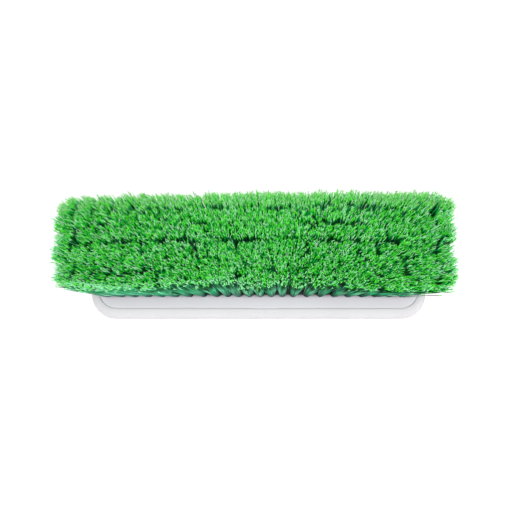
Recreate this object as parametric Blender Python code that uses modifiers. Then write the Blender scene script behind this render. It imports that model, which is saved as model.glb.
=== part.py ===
"""Flow-through car wash brush head, lying on its back with the bristles up.

Metres, +Z up. The origin is under the middle of the block, on the flat back that the head rests on.
The long side lies along X. A pole screws into the slanted socket, which leans towards +Y, and the
water it brings runs through the chamber in the back cover and out between the tufts.
"""

import math
import random

import bmesh
import bpy
from mathutils import Matrix, Vector

# Clearances and roundness shared by all the pieces
FIT_GAP = 0.0003
CUT_OVERRUN = 0.002
MERGE_DISTANCE = FIT_GAP / 100
CORNER_STEPS = 6
ROUND_STEPS = 20
SHARP_ANGLE = math.radians(35)

# Tuft plate, the face half of the block
BLOCK_LENGTH = 0.2414
BLOCK_WIDTH = 0.0636
BLOCK_CORNER_RADIUS = 0.0140
PLATE_THICKNESS = 0.0140
EDGE_CHAMFER = 0.0005

# Back cover, the hollow half of the block
FLANGE_THICKNESS = 0.0040
FLANGE_WIDTH = 0.0090
HUMP_DEPTH = 0.0317
HUMP_CORNER_RADIUS = 0.0090
BACK_FLAT_LENGTH = 0.1500
BACK_FLAT_WIDTH = 0.0340
BACK_FLAT_CORNER_RADIUS = 0.0080
BACK_EDGE_CHAMFER = 0.0015
COVER_WALL = 0.0030
CHAMBER_RIM_WIDTH = 0.0045

# Gasket between the two halves
GASKET_INSET = 0.0092
GASKET_WIDTH = 0.0026
GASKET_THICKNESS = 0.0018

# Bumper round the edge of the tuft plate
BUMPER_RADIUS = 0.0063
BUMPER_STEPS = 8
BUMPER_RIB_DEPTH = 0.0016
BUMPER_RIB_HEIGHT = 0.0036

# Slanted pole socket
SOCKET_TILT = math.radians(45)
SOCKET_OUTREACH = 0.0010
SOCKET_FLOOR_CLEARANCE = 0.0015
SOCKET_BOSS_WALL = 0.0022
SOCKET_LEDGE = 0.0030
SOCKET_HEADROOM = 0.0017
SOCKET_RELIEF = 0.0015
PASSAGE_RADIUS = 0.0055

# Threaded insert in the socket, and the washer at its bottom
INSERT_LENGTH = 0.0180
INSERT_WALL = 0.0014
INSERT_COLLAR_LIP = 0.0016
INSERT_COLLAR_THICKNESS = 0.0012
THREAD_RADIUS = 0.0098
THREAD_PITCH = 0.00508
THREAD_RIDGE_RADIUS = 0.0012
THREAD_TURNS = 2.5
THREAD_STEPS_PER_TURN = 18
WASHER_THICKNESS = 0.0022
WASHER_BORE_RADIUS = 0.0055

# Screws that hold the halves together
SCREW_INSET = 0.0047
SCREW_SHANK_RADIUS = 0.0018
SCREW_HEAD_RADIUS = 0.0034
SCREW_HEAD_HEIGHT = 0.0024
SCREW_BITE = 0.0080
SCREW_POINT = 0.0020
SCREW_SLOT_WIDTH = 0.0010
SCREW_SLOT_DEPTH = 0.0012
SCREW_PLACE_SHARES = (-0.85, -0.29, 0.29, 0.85)

# Water outlets between the two middle rows
OUTLET_RADIUS = 0.0013
OUTLET_FIRST_TUFT = 1
OUTLET_EVERY_TUFTS = 3

# Tufts: where they stand, how far they splay, and the strands that each is drawn with
TUFT_ROWS = 6
ROW_PITCH = 0.0080
OUTER_TUFT_PITCH = 0.0102
MIDDLE_TUFT_PITCH = 0.0082
OUTER_TUFT_GAPS = 8
MIDDLE_TUFT_GAPS = 7
TRIM_LENGTH = 0.0635
END_SPLAY = 0.0280
SIDE_SPLAY = 0.0121
SPLAY_POWER = 1.25
SLICE_THICKNESS = 0.0025
SLICE_END_MARGIN = 0.0040
SECTIONS_PER_ROW = 4
STRANDS_PER_TUFT = 3
STRAND_SIDES = 3
STRAND_ROOT_SINK = 0.0018
STRAND_ROOT_RADIUS = 0.0012
STRAND_TIP_RADIUS = 0.0018
STRAND_ROOT_RING = 0.0015
STRAND_FAN_LENGTHWISE = 0.0026
STRAND_FAN_CROSSWISE = 0.0056
STRAND_STRAY = 0.0003
STRAND_UNEVENNESS = 0.0015

# Heights of the layers, from the flat back up to the face that the tufts stand in
FLANGE_TOP = HUMP_DEPTH + FLANGE_THICKNESS
PLATE_BOTTOM = FLANGE_TOP + FIT_GAP
FACE_HEIGHT = PLATE_BOTTOM + PLATE_THICKNESS
BUMPER_HEIGHT = FACE_HEIGHT - BUMPER_RADIUS
RECESS_DEPTH = SLICE_THICKNESS + FIT_GAP

# Radii of the socket, from the thread outwards
INSERT_RADIUS = THREAD_RADIUS + INSERT_WALL
POCKET_RADIUS = INSERT_RADIUS + FIT_GAP
BOSS_RADIUS = POCKET_RADIUS + SOCKET_BOSS_WALL
POCKET_DEPTH = INSERT_LENGTH + FIT_GAP
BOSS_LENGTH = POCKET_DEPTH + SOCKET_LEDGE
COLLAR_RADIUS = INSERT_RADIUS + INSERT_COLLAR_LIP
MOUTH_HEIGHT = BOSS_RADIUS * math.cos(SOCKET_TILT) + SOCKET_FLOOR_CLEARANCE
MOUTH_OFFSET = BACK_FLAT_WIDTH / 2 + SOCKET_OUTREACH

# Tuft row ends and the recess in the face that holds the slices
ROW_HALF_LENGTH = (2 * OUTER_TUFT_GAPS * OUTER_TUFT_PITCH + MIDDLE_TUFT_GAPS * MIDDLE_TUFT_PITCH) / 2
STAGGER = OUTER_TUFT_PITCH / 4
RECESS_HALF_LENGTH = ROW_HALF_LENGTH + STAGGER + SLICE_END_MARGIN
RECESS_HALF_WIDTH = TUFT_ROWS * ROW_PITCH / 2

WHITE_PLASTIC = ((0.80, 0.80, 0.82, 1), 0.45, 0)
WHITE_RUBBER = ((0.84, 0.84, 0.85, 1), 0.6, 0)
BLACK_RUBBER = ((0.03, 0.03, 0.03, 1), 0.7, 0)
BRASS = ((0.78, 0.57, 0.25, 1), 0.3, 1)
STEEL = ((0.62, 0.62, 0.64, 1), 0.3, 1)
GREEN_BRISTLE = ((0.05, 0.45, 0.06, 1), 0.5, 0)


def clear_scene():
    for obj in list(bpy.data.objects):
        bpy.data.objects.remove(obj)


def new_collection(name):
    collection = bpy.data.collections.new(name)
    bpy.context.scene.collection.children.link(collection)
    return collection


def move_to(obj, collection):
    for holder in list(obj.users_collection):
        holder.objects.unlink(obj)
    collection.objects.link(obj)


def as_cutter(obj):
    """A helper shape: it cuts or joins another piece and isn't a piece itself."""
    move_to(obj, CUTTERS)
    obj.hide_render = True
    obj.display_type = "WIRE"
    return obj


def as_piece(obj, name, finish):
    """A named piece of the brush in its own material."""
    obj.name = name
    obj.data.name = name
    move_to(obj, BRUSH)
    colour, roughness, metallic = finish
    material = bpy.data.materials.new(name)
    material.use_nodes = True
    shader = material.node_tree.nodes["Principled BSDF"]
    shader.inputs["Base Color"].default_value = colour
    shader.inputs["Roughness"].default_value = roughness
    shader.inputs["Metallic"].default_value = metallic
    obj.data.materials.clear()
    obj.data.materials.append(material)
    return obj


def smooth(obj):
    obj.data.shade_smooth()
    obj.data.set_sharp_from_angle(angle=SHARP_ANGLE)
    return obj


def mesh_object(name, bm):
    mesh = bpy.data.meshes.new(name)
    bm.to_mesh(mesh)
    bm.free()
    obj = bpy.data.objects.new(name, mesh)
    bpy.context.scene.collection.objects.link(obj)
    return obj


def mesh_from(obj, name):
    """The evaluated mesh of a curve or of a piece with modifiers, with its caps welded on."""
    bpy.context.view_layer.update()
    graph = bpy.context.evaluated_depsgraph_get()
    mesh = bpy.data.meshes.new_from_object(obj.evaluated_get(graph))
    place = obj.matrix_world.copy()
    bpy.data.objects.remove(obj)
    bm = bmesh.new()
    bm.from_mesh(mesh)
    bmesh.ops.remove_doubles(bm, verts=bm.verts, dist=MERGE_DISTANCE)
    bm.to_mesh(mesh)
    bm.free()
    solid = bpy.data.objects.new(name, mesh)
    bpy.context.scene.collection.objects.link(solid)
    solid.matrix_world = place
    return solid


def boolean(target, other, operation):
    """Joins other to target or cuts it from target, and leaves the result on target."""
    modifier = target.modifiers.new(operation.lower(), "BOOLEAN")
    modifier.operation = operation
    modifier.object = as_cutter(other)
    return target


def rounded_outline(half_length, half_width, radius):
    """Points of a rectangle with round corners, anticlockwise, each corner an arc of equal steps."""
    centres = (
        (half_length - radius, half_width - radius),
        (radius - half_length, half_width - radius),
        (radius - half_length, radius - half_width),
        (half_length - radius, radius - half_width),
    )
    points = []
    for quarter, (x, y) in enumerate(centres):
        for step in range(CORNER_STEPS + 1):
            angle = math.pi / 2 * (quarter + step / CORNER_STEPS)
            points.append((x + radius * math.cos(angle), y + radius * math.sin(angle)))
    return points


def block_outline(inset):
    """The block's outline, drawn in by inset, or let out where inset is negative."""
    return rounded_outline(
        BLOCK_LENGTH / 2 - inset, BLOCK_WIDTH / 2 - inset, BLOCK_CORNER_RADIUS - inset
    )


def flat_shape(name, outlines, bottom, top, chamfer=0.0):
    """A flat outline given thickness. A second outline inside the first makes a ring of it."""
    curve = bpy.data.curves.new(name, "CURVE")
    curve.dimensions = "2D"
    curve.fill_mode = "BOTH"
    curve.extrude = (top - bottom) / 2 - chamfer
    curve.bevel_depth = chamfer
    curve.bevel_resolution = 0
    curve.offset = -chamfer
    for outline in outlines:
        spline = curve.splines.new("POLY")
        spline.points.add(len(outline) - 1)
        for point, (x, y) in zip(spline.points, outline):
            point.co = (x, y, 0, 1)
        spline.use_cyclic_u = True
    obj = bpy.data.objects.new(name, curve)
    obj.location.z = (top + bottom) / 2
    bpy.context.scene.collection.objects.link(obj)
    return mesh_from(obj, name)


def cylinder(name, radius, bottom, top, place, segments=ROUND_STEPS):
    """A cylinder on the local Z axis of place, from bottom to top."""
    bm = bmesh.new()
    bmesh.ops.create_cone(
        bm,
        cap_ends=True,
        segments=segments,
        radius1=radius,
        radius2=radius,
        depth=top - bottom,
        matrix=Matrix.Translation((0, 0, (top + bottom) / 2)),
    )
    obj = mesh_object(name, bm)
    obj.matrix_world = place
    return obj


def block_of(name, low, high):
    """A plain box between two corners."""
    bm = bmesh.new()
    bmesh.ops.create_cube(bm, size=1)
    obj = mesh_object(name, bm)
    obj.scale = Vector(high) - Vector(low)
    obj.location = (Vector(high) + Vector(low)) / 2
    return obj


def turned(name, profile, place):
    """A closed profile of (radius, height) points, turned about the local Z axis of place."""
    bm = bmesh.new()
    corners = [bm.verts.new((radius, 0, height)) for radius, height in profile]
    for i, corner in enumerate(corners):
        if profile[i][0] or profile[i - 1][0]:
            bm.edges.new((corners[i - 1], corner))
    obj = mesh_object(name, bm)
    screw = obj.modifiers.new("turn", "SCREW")
    screw.steps = ROUND_STEPS
    screw.render_steps = ROUND_STEPS
    screw.use_merge_vertices = True
    screw.merge_threshold = MERGE_DISTANCE
    obj.matrix_world = place
    return mesh_from(obj, name)


def loft(name, sections):
    """A solid skinned over outlines of unlike size that have as many points, each at its own height."""
    bm = bmesh.new()
    rings = [[bm.verts.new((x, y, height)) for x, y in outline] for outline, height in sections]
    for lower, upper in zip(rings, rings[1:]):
        for i in range(len(lower)):
            bm.faces.new((lower[i - 1], lower[i], upper[i], upper[i - 1]))
    bm.faces.new(reversed(rings[0]))
    bm.faces.new(rings[-1])
    return mesh_object(name, bm)


def socket_place():
    """The socket's frame: its origin is the middle of the mouth and its local +Z leads out of it."""
    turn = Matrix.Rotation(-(math.pi - SOCKET_TILT), 4, "X")
    return Matrix.Translation((0, MOUTH_OFFSET, MOUTH_HEIGHT)) @ turn


def screw_places():
    """The middle of each screw hole, at the flange's underside, on both long sides."""
    y = BLOCK_WIDTH / 2 - SCREW_INSET
    return [
        Vector((share * BLOCK_LENGTH / 2, side * y, HUMP_DEPTH))
        for side in (-1, 1)
        for share in SCREW_PLACE_SHARES
    ]


def tuft_places_along():
    """X of each tuft of a row before the stagger. The middle tufts stand closer together."""
    gaps = (
        [OUTER_TUFT_PITCH] * OUTER_TUFT_GAPS
        + [MIDDLE_TUFT_PITCH] * MIDDLE_TUFT_GAPS
        + [OUTER_TUFT_PITCH] * OUTER_TUFT_GAPS
    )
    places = [-ROW_HALF_LENGTH]
    for gap in gaps:
        places.append(places[-1] + gap)
    return places


def outlet_places():
    """X of each water outlet: where it lies midway between tufts of the two middle rows."""
    return tuft_places_along()[OUTLET_FIRST_TUFT::OUTLET_EVERY_TUFTS]


def small_hole(name, radius, bottom, top, x, y):
    """An upright cutter for a screw hole or a water outlet."""
    place = Matrix.Translation((x, y, 0))
    return cylinder(name, radius, bottom, top, place, segments=CORNER_STEPS * 2)


def cut_outlet(target, x):
    hole = small_hole(
        "outlet", OUTLET_RADIUS, PLATE_BOTTOM - CUT_OVERRUN, FACE_HEIGHT + CUT_OVERRUN, x, 0
    )
    boolean(target, hole, "DIFFERENCE")


def make_tuft_plate():
    plate = flat_shape("tuft_plate", [block_outline(0)], PLATE_BOTTOM, FACE_HEIGHT, EDGE_CHAMFER)
    groove = flat_shape(
        "bumper_groove",
        [block_outline(-CUT_OVERRUN), block_outline(BUMPER_RIB_DEPTH + FIT_GAP)],
        BUMPER_HEIGHT - BUMPER_RIB_HEIGHT / 2 - FIT_GAP,
        BUMPER_HEIGHT + BUMPER_RIB_HEIGHT / 2 + FIT_GAP,
    )
    boolean(plate, groove, "DIFFERENCE")
    recess = block_of(
        "slice_recess",
        (-RECESS_HALF_LENGTH, -RECESS_HALF_WIDTH, FACE_HEIGHT - RECESS_DEPTH),
        (RECESS_HALF_LENGTH, RECESS_HALF_WIDTH, FACE_HEIGHT + CUT_OVERRUN),
    )
    boolean(plate, recess, "DIFFERENCE")
    radius = SCREW_SHANK_RADIUS + FIT_GAP
    bottom = PLATE_BOTTOM - CUT_OVERRUN
    top = PLATE_BOTTOM + SCREW_BITE + FIT_GAP
    for place in screw_places():
        hole = small_hole("pilot_hole", radius, bottom, top, place.x, place.y)
        boolean(plate, hole, "DIFFERENCE")
    for x in outlet_places():
        cut_outlet(plate, x)
    return as_piece(plate, "tuft_plate", WHITE_PLASTIC)


def hump_solid():
    """The cover's outside, from the chamfered flat back up to the flange."""
    flat = (BACK_FLAT_LENGTH / 2, BACK_FLAT_WIDTH / 2, BACK_FLAT_CORNER_RADIUS)
    rim = [size - BACK_EDGE_CHAMFER for size in flat]
    base = (
        BLOCK_LENGTH / 2 - FLANGE_WIDTH,
        BLOCK_WIDTH / 2 - FLANGE_WIDTH,
        HUMP_CORNER_RADIUS,
    )
    return loft(
        "hump",
        [
            (rounded_outline(*rim), 0),
            (rounded_outline(*flat), BACK_EDGE_CHAMFER),
            (rounded_outline(*base), HUMP_DEPTH + FLANGE_THICKNESS / 2),
        ],
    )


def chamber_solid():
    """The hollow inside the cover that spreads the water along the head."""
    floor = (
        BACK_FLAT_LENGTH / 2 - COVER_WALL,
        BACK_FLAT_WIDTH / 2 - COVER_WALL,
        BACK_FLAT_CORNER_RADIUS - COVER_WALL,
    )
    inset = FLANGE_WIDTH + CHAMBER_RIM_WIDTH
    mouth = (
        BLOCK_LENGTH / 2 - inset,
        BLOCK_WIDTH / 2 - inset,
        HUMP_CORNER_RADIUS - COVER_WALL,
    )
    return loft(
        "chamber",
        [
            (rounded_outline(*floor), COVER_WALL),
            (rounded_outline(*mouth), FLANGE_TOP - GASKET_THICKNESS),
            (rounded_outline(*mouth), FLANGE_TOP + CUT_OVERRUN),
        ],
    )


def trimmed_boss(name):
    """The socket's boss, cut level below the tuft plate and a little too long at the mouth."""
    boss = cylinder(name, BOSS_RADIUS, -BOSS_LENGTH, CUT_OVERRUN, socket_place())
    top = block_of(
        "boss_trim",
        (-BLOCK_WIDTH, -BLOCK_WIDTH, FLANGE_TOP - SOCKET_HEADROOM),
        (BLOCK_WIDTH, BLOCK_WIDTH, FLANGE_TOP + BLOCK_WIDTH),
    )
    return boolean(boss, top, "DIFFERENCE")


def make_back_cover():
    cover = hump_solid()
    flange = flat_shape("flange", [block_outline(0)], HUMP_DEPTH, FLANGE_TOP, EDGE_CHAMFER)
    boolean(cover, flange, "UNION")
    boolean(cover, trimmed_boss("boss"), "UNION")

    relief_radius = BOSS_RADIUS + SOCKET_RELIEF
    reach = BLOCK_WIDTH / 2
    relief = cylinder("relief", relief_radius, 0, reach, socket_place())
    boolean(cover, relief, "DIFFERENCE")

    chamber = chamber_solid()
    boolean(chamber, trimmed_boss("boss_core"), "DIFFERENCE")
    keep_out = cylinder("relief_wall", relief_radius + COVER_WALL, -COVER_WALL, reach, socket_place())
    boolean(chamber, keep_out, "DIFFERENCE")
    boolean(cover, chamber, "DIFFERENCE")

    pocket = cylinder("pocket", POCKET_RADIUS, -POCKET_DEPTH, CUT_OVERRUN, socket_place())
    boolean(cover, pocket, "DIFFERENCE")
    passage = cylinder(
        "passage", PASSAGE_RADIUS, -BOSS_LENGTH - CUT_OVERRUN, -POCKET_DEPTH / 2, socket_place()
    )
    boolean(cover, passage, "DIFFERENCE")

    groove = flat_shape(
        "gasket_groove",
        [
            block_outline(GASKET_INSET - FIT_GAP),
            block_outline(GASKET_INSET + GASKET_WIDTH + FIT_GAP),
        ],
        FLANGE_TOP - GASKET_THICKNESS,
        FLANGE_TOP + CUT_OVERRUN,
    )
    boolean(cover, groove, "DIFFERENCE")
    radius = SCREW_SHANK_RADIUS + FIT_GAP
    bottom = HUMP_DEPTH - CUT_OVERRUN
    top = FLANGE_TOP + CUT_OVERRUN
    for place in screw_places():
        hole = small_hole("screw_hole", radius, bottom, top, place.x, place.y)
        boolean(cover, hole, "DIFFERENCE")
    return as_piece(cover, "back_cover", WHITE_PLASTIC)


def make_gasket():
    """The flat rubber ring lies in the cover's groove, clear of its bottom and of the plate."""
    gasket = flat_shape(
        "cover_gasket",
        [block_outline(GASKET_INSET), block_outline(GASKET_INSET + GASKET_WIDTH)],
        FLANGE_TOP - GASKET_THICKNESS + FIT_GAP,
        FLANGE_TOP,
    )
    return as_piece(gasket, "cover_gasket", BLACK_RUBBER)


def bumper_section():
    """The bumper's section, as (outward, up) from the plate's edge: a half round and its rib."""
    half_rib = BUMPER_RIB_HEIGHT / 2
    points = [
        (FIT_GAP, -half_rib),
        (-BUMPER_RIB_DEPTH, -half_rib),
        (-BUMPER_RIB_DEPTH, half_rib),
        (FIT_GAP, half_rib),
    ]
    for step in range(BUMPER_STEPS + 1):
        angle = math.pi / 2 - math.pi * (step / BUMPER_STEPS)
        out = BUMPER_RADIUS * math.cos(angle)
        points.append((max(out, FIT_GAP), BUMPER_RADIUS * math.sin(angle)))
    return points


def make_bumper():
    """The soft bumper: its section run once round the edge of the tuft plate."""
    section = bpy.data.curves.new("bumper_section", "CURVE")
    section.dimensions = "2D"
    outline = bumper_section()
    line = section.splines.new("POLY")
    line.points.add(len(outline) - 1)
    for point, (out, up) in zip(line.points, outline):
        point.co = (out, up, 0, 1)
    line.use_cyclic_u = True
    guide = bpy.data.objects.new("bumper_section", section)
    bpy.context.scene.collection.objects.link(guide)

    path = bpy.data.curves.new("bumper", "CURVE")
    path.dimensions = "3D"
    path.twist_mode = "Z_UP"
    path.bevel_mode = "OBJECT"
    path.bevel_object = guide
    edge = block_outline(0)
    spline = path.splines.new("POLY")
    spline.points.add(len(edge) - 1)
    for point, (x, y) in zip(spline.points, edge):
        point.co = (x, y, BUMPER_HEIGHT, 1)
    spline.use_cyclic_u = True
    tube = bpy.data.objects.new("bumper", path)
    bpy.context.scene.collection.objects.link(tube)
    bumper = mesh_from(tube, "bumper")
    bpy.data.objects.remove(guide)
    return as_piece(bumper, "bumper", WHITE_RUBBER)


def thread_ridge():
    """A round ridge wound along the insert's bore, above the washer."""
    curve = bpy.data.curves.new("thread", "CURVE")
    curve.dimensions = "3D"
    curve.bevel_depth = THREAD_RIDGE_RADIUS
    curve.bevel_resolution = 1
    curve.use_fill_caps = True
    spline = curve.splines.new("POLY")
    steps = round(THREAD_TURNS * THREAD_STEPS_PER_TURN)
    spline.points.add(steps)
    free_length = INSERT_LENGTH - WASHER_THICKNESS
    start = -free_length / 2 - THREAD_TURNS * THREAD_PITCH / 2
    for step, point in enumerate(spline.points):
        turns = step / THREAD_STEPS_PER_TURN
        angle = 2 * math.pi * turns
        point.co = (
            THREAD_RADIUS * math.cos(angle),
            THREAD_RADIUS * math.sin(angle),
            start + turns * THREAD_PITCH,
            1,
        )
    obj = bpy.data.objects.new("thread", curve)
    obj.matrix_world = socket_place()
    bpy.context.scene.collection.objects.link(obj)
    return mesh_from(obj, "thread")


def make_handle_insert():
    insert = turned(
        "handle_insert",
        [
            (THREAD_RADIUS, INSERT_COLLAR_THICKNESS + FIT_GAP),
            (COLLAR_RADIUS, INSERT_COLLAR_THICKNESS + FIT_GAP),
            (COLLAR_RADIUS, FIT_GAP),
            (INSERT_RADIUS, FIT_GAP),
            (INSERT_RADIUS, -INSERT_LENGTH),
            (THREAD_RADIUS, -INSERT_LENGTH),
        ],
        socket_place(),
    )
    boolean(insert, thread_ridge(), "UNION")
    return as_piece(insert, "handle_insert", BRASS)


def make_inlet_washer():
    """The rubber washer lies on the socket's ledge, inside the insert."""
    bottom = FIT_GAP - POCKET_DEPTH
    outer = THREAD_RADIUS - FIT_GAP
    washer = turned(
        "inlet_washer",
        [
            (WASHER_BORE_RADIUS, bottom + WASHER_THICKNESS),
            (outer, bottom + WASHER_THICKNESS),
            (outer, bottom),
            (WASHER_BORE_RADIUS, bottom),
        ],
        socket_place(),
    )
    return as_piece(washer, "inlet_washer", BLACK_RUBBER)


def screw_mesh():
    """A pan head screw on its own axis, head down: z is 0 under the head and the point is up."""
    head_top = -FIT_GAP
    tip = FLANGE_THICKNESS + FIT_GAP + SCREW_BITE
    half_head = SCREW_HEAD_HEIGHT / 2
    body = turned(
        "screw",
        [
            (0, tip),
            (SCREW_SHANK_RADIUS, tip - SCREW_POINT),
            (SCREW_SHANK_RADIUS, head_top),
            (SCREW_HEAD_RADIUS, head_top),
            (SCREW_HEAD_RADIUS, head_top - half_head),
            (SCREW_HEAD_RADIUS - half_head, head_top - SCREW_HEAD_HEIGHT),
            (0, head_top - SCREW_HEAD_HEIGHT),
        ],
        Matrix.Identity(4),
    )
    half_slot = SCREW_SLOT_WIDTH / 2
    slot_length = SCREW_HEAD_RADIUS - half_head
    slot_low = head_top - SCREW_HEAD_HEIGHT - CUT_OVERRUN
    slot_high = head_top - SCREW_HEAD_HEIGHT + SCREW_SLOT_DEPTH
    for half_x, half_y in ((slot_length, half_slot), (half_slot, slot_length)):
        slot = block_of("slot", (-half_x, -half_y, slot_low), (half_x, half_y, slot_high))
        boolean(body, slot, "DIFFERENCE")
    return mesh_from(body, "cover_screw").data


def make_screws():
    mesh = screw_mesh()
    for obj in [o for o in bpy.data.objects if o.data == mesh]:
        bpy.data.objects.remove(obj)
    for number, place in enumerate(screw_places(), 1):
        screw = bpy.data.objects.new("cover_screw", mesh)
        screw.location = place
        bpy.context.scene.collection.objects.link(screw)
        as_piece(screw, f"cover_screw_{number}", STEEL)


def row_y(row):
    return (row - (TUFT_ROWS - 1) / 2) * ROW_PITCH


def row_shift(row):
    """Odd and even rows are set a quarter pitch to the left and to the right."""
    return STAGGER if row % 2 else -STAGGER


def splay_of(x, y):
    """How far a tuft's tips lean out from over its root: slowly in the middle, faster at the ends."""
    along = END_SPLAY * math.copysign(abs(x / ROW_HALF_LENGTH) ** SPLAY_POWER, x)
    across = SIDE_SPLAY * y / row_y(TUFT_ROWS - 1)
    return along, across


def add_strand(bm, root, tip):
    """One lock of bristles, sunk a little into the slice and spreading towards its tip."""
    along = (tip - root).normalized()
    start = root - along * STRAND_ROOT_SINK
    length = (tip - start).length
    turn = along.to_track_quat("Z", "Y").to_matrix().to_4x4()
    bmesh.ops.create_cone(
        bm,
        cap_ends=True,
        segments=STRAND_SIDES,
        radius1=STRAND_ROOT_RADIUS,
        radius2=STRAND_TIP_RADIUS,
        depth=length,
        matrix=Matrix.Translation((start + tip) / 2) @ turn,
    )


def add_tuft(bm, x, y, chance):
    """The strands of one tuft stand in a small ring in the hole, one of them on the side away from the
    head's middle line, and fan out towards their tips.
    """
    lean_x, lean_y = splay_of(x, y)
    height = math.sqrt(TRIM_LENGTH**2 - lean_x**2 - lean_y**2)
    phase = math.copysign(math.pi / 2, y)
    for strand in range(STRANDS_PER_TUFT):
        angle = phase + 2 * math.pi * strand / STRANDS_PER_TUFT
        out_x, out_y = math.cos(angle), math.sin(angle)
        root = Vector((x + STRAND_ROOT_RING * out_x, y + STRAND_ROOT_RING * out_y, FACE_HEIGHT))
        stray_x = chance.uniform(-STRAND_STRAY, STRAND_STRAY)
        stray_y = chance.uniform(-STRAND_STRAY, STRAND_STRAY)
        tip = Vector(
            (
                x + lean_x + STRAND_FAN_LENGTHWISE * out_x + stray_x,
                y + lean_y + STRAND_FAN_CROSSWISE * out_y + stray_y,
                FACE_HEIGHT + height - chance.uniform(0, STRAND_UNEVENNESS),
            )
        )
        add_strand(bm, root, tip)


def make_bristle_row(row, chance):
    """One row of tufts in sections, each fused to its slice of the face."""
    y = row_y(row)
    places = [x + row_shift(row) for x in tuft_places_along()]
    per_section = len(places) // SECTIONS_PER_ROW
    half_width = (ROW_PITCH - FIT_GAP) / 2
    for section in range(SECTIONS_PER_ROW):
        first = section * per_section
        last = first + per_section - 1
        left = -RECESS_HALF_LENGTH if first == 0 else (places[first - 1] + places[first]) / 2
        at_end = last == len(places) - 1
        right = RECESS_HALF_LENGTH if at_end else (places[last] + places[last + 1]) / 2
        slice_ = block_of(
            "slice",
            (left + FIT_GAP / 2, y - half_width, FACE_HEIGHT - SLICE_THICKNESS),
            (right - FIT_GAP / 2, y + half_width, FACE_HEIGHT),
        )
        bm = bmesh.new()
        for x in places[first : last + 1]:
            add_tuft(bm, x, y, chance)
        boolean(slice_, mesh_object("strands", bm), "UNION")
        for x in outlet_places():
            if left < x < right and abs(y) < ROW_PITCH:
                cut_outlet(slice_, x)
        as_piece(slice_, f"bristle_row_{row + 1}_section_{section + 1}", GREEN_BRISTLE)


def make_brush():
    clear_scene()
    for piece in (make_tuft_plate(), make_back_cover(), make_gasket(), make_bumper()):
        smooth(piece)
    for piece in (make_handle_insert(), make_inlet_washer()):
        smooth(piece)
    make_screws()
    chance = random.Random(5)
    for row in range(TUFT_ROWS):
        make_bristle_row(row, chance)


BRUSH = new_collection("car_wash_brush")
CUTTERS = new_collection("cutters")
make_brush()
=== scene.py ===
"""A car wash brush head lying on its back, dressed for a studio picture from its bristle side.

Metres, +Z up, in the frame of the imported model. The filaments, the tuft plate, the bumper and the brass bush
are surfaces worked out with numpy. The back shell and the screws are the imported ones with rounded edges, and
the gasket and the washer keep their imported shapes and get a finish.
"""

import math

import bmesh
import bpy
import numpy as np
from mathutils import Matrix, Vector
from mathutils.geometry import tessellate_polygon


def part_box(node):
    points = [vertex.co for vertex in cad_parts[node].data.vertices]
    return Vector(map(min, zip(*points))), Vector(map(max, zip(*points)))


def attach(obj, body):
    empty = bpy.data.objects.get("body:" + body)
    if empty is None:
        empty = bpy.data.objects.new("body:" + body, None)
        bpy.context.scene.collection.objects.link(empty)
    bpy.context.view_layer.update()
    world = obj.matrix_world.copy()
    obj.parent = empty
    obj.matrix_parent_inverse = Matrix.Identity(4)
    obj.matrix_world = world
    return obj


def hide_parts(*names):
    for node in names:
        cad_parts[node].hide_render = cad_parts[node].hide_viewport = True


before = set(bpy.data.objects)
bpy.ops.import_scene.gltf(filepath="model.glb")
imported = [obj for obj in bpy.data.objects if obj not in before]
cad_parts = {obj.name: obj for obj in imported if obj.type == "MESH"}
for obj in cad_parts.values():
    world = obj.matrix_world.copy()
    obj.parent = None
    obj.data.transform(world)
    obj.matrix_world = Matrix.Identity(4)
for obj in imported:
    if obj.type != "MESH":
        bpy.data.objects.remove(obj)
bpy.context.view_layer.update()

PLATE_LOW, PLATE_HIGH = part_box("tuft_plate")
BUMPER_LOW, BUMPER_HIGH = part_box("bumper")

# Meshes: vertices nearer than this are joined, and edges sharper than this are shaded sharp
MERGE_DISTANCE = 0.000001
SHARP_ANGLE = math.radians(40)

# The block: its outline comes from the frame
HALF_LENGTH = PLATE_HIGH.x
HALF_WIDTH = PLATE_HIGH.y
FACE = PLATE_HIGH.z
PLATE_BOTTOM = PLATE_LOW.z
CORNER_RADIUS = 0.0140
CORNER_POINTS = 23
EDGE_SPACING = 0.0010
PLATE_EDGE_ROUND = 0.0004
PLATE_EDGE_MIDDLE_SHARE = 0.3
HOLE_EDGE_ROUND = 0.00024

# Seam between plate and bumper: its width, how far it wanders, and how deep below the face it still does.
# Each wave is (radians a metre along X, the same along Y, start, share of the drift). The dip is near the
# front's middle
SEAM_GAP = 0.00027
SEAM_DRIFT = 0.00022
SEAM_DRIFT_DEPTH = 0.0016
SEAM_WAVES = ((61, 0, 1.3, 0.315), (143, 0, 0.4, 0.245), (27, 190, 0, 0.21))
SEAM_DIP_X = 0.0040
SEAM_DIP_WIDTH = 0.0140
SEAM_DIP_SHARE = 1.7
SEAM_DIP_FROM_SHARE = 0.9
SEAM_DIP_EASE = 0.0010

# Bumper
BUMPER_RADIUS = (BUMPER_HIGH.z - BUMPER_LOW.z) / 2
BUMPER_STEPS = 28
BUMPER_LIP = 0.0007
BUMPER_BACK_SHARE = 0.6
BUMPER_SHARP_ANGLE = math.radians(50)
RIB_DEPTH = 0.0016
RIB_HEIGHT = 0.0036
JOINT_X = 0.0040
JOINT_WIDTH = 0.0012
JOINT_DEPTH = 0.0003

# Brass bush in the slanted socket, its thread for the pole, and the washer's room at its inner end
BUSH_LOW, BUSH_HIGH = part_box("handle_insert")
SOCKET_TILT = math.radians(45)
BUSH_RADIUS = 0.0112
BUSH_EDGE_ROUND = 0.0002
COLLAR_LENGTH = 0.0012
BORE_RADIUS = 0.0098
THREAD_DEPTH = 0.0012
THREAD_PITCH = 0.00508
THREAD_EASE = 0.0012
THREAD_STEEPNESS = 1.2
WASHER_ROOM = 0.0026
BUSH_SIDES = 96
BORE_RINGS = 64

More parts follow.
